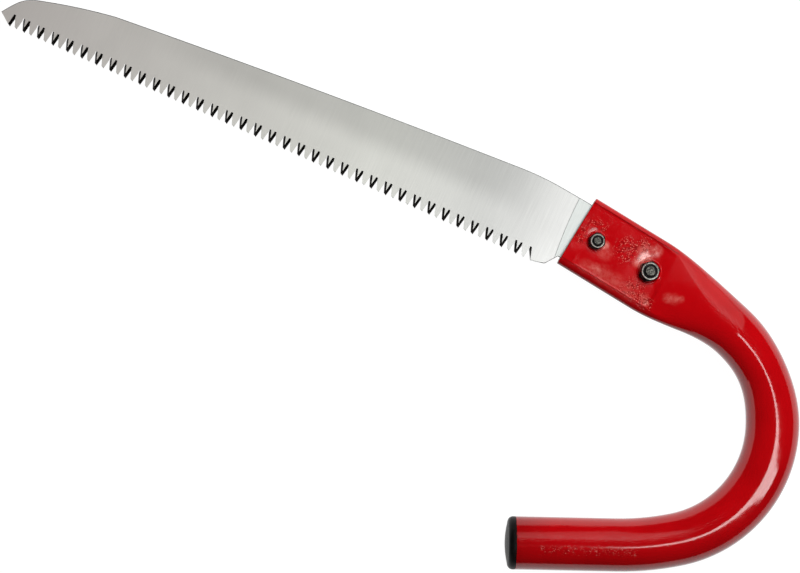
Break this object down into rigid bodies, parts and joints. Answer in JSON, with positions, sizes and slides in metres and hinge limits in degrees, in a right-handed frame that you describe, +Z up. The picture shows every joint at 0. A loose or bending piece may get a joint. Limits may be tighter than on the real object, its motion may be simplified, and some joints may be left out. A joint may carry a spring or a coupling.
{
  "type": "pruning saw",
  "caption": "Pruning saw with a long straight-toothed blade bolted into the flattened end of a hooked round tube handle, with a plug in the grip's end.",
  "frame": {"origin": "middle of the underside of the saw's bounding box, with the saw lying flat on its side", "axes": "+X along the straight grip, from its capped end into the hook; +Y across the hook from the grip to the blade; +Z up, square to the blade's plane"},
  "size_m": [0.4368, 0.303, 0.0286],
  "materials": {
    "red_paint": "glossy red coat over steel tube",
    "blade_steel": "bright, finely ground across the blade",
    "black_steel": "black oxide",
    "ring_nylon": "satin black nylon",
    "cap_plastic": "fine-textured black"
  },
  "bodies": {
    "root": {"handle_tube": "red_paint", "blade": "blade_steel", "end_cap": "cap_plastic", "front_nut": "black_steel", "front_nut_insert": "ring_nylon", "front_bolt": "black_steel", "rear_nut": "black_steel", "rear_nut_insert": "ring_nylon", "rear_bolt": "black_steel"}
  },
  "joints": []
}
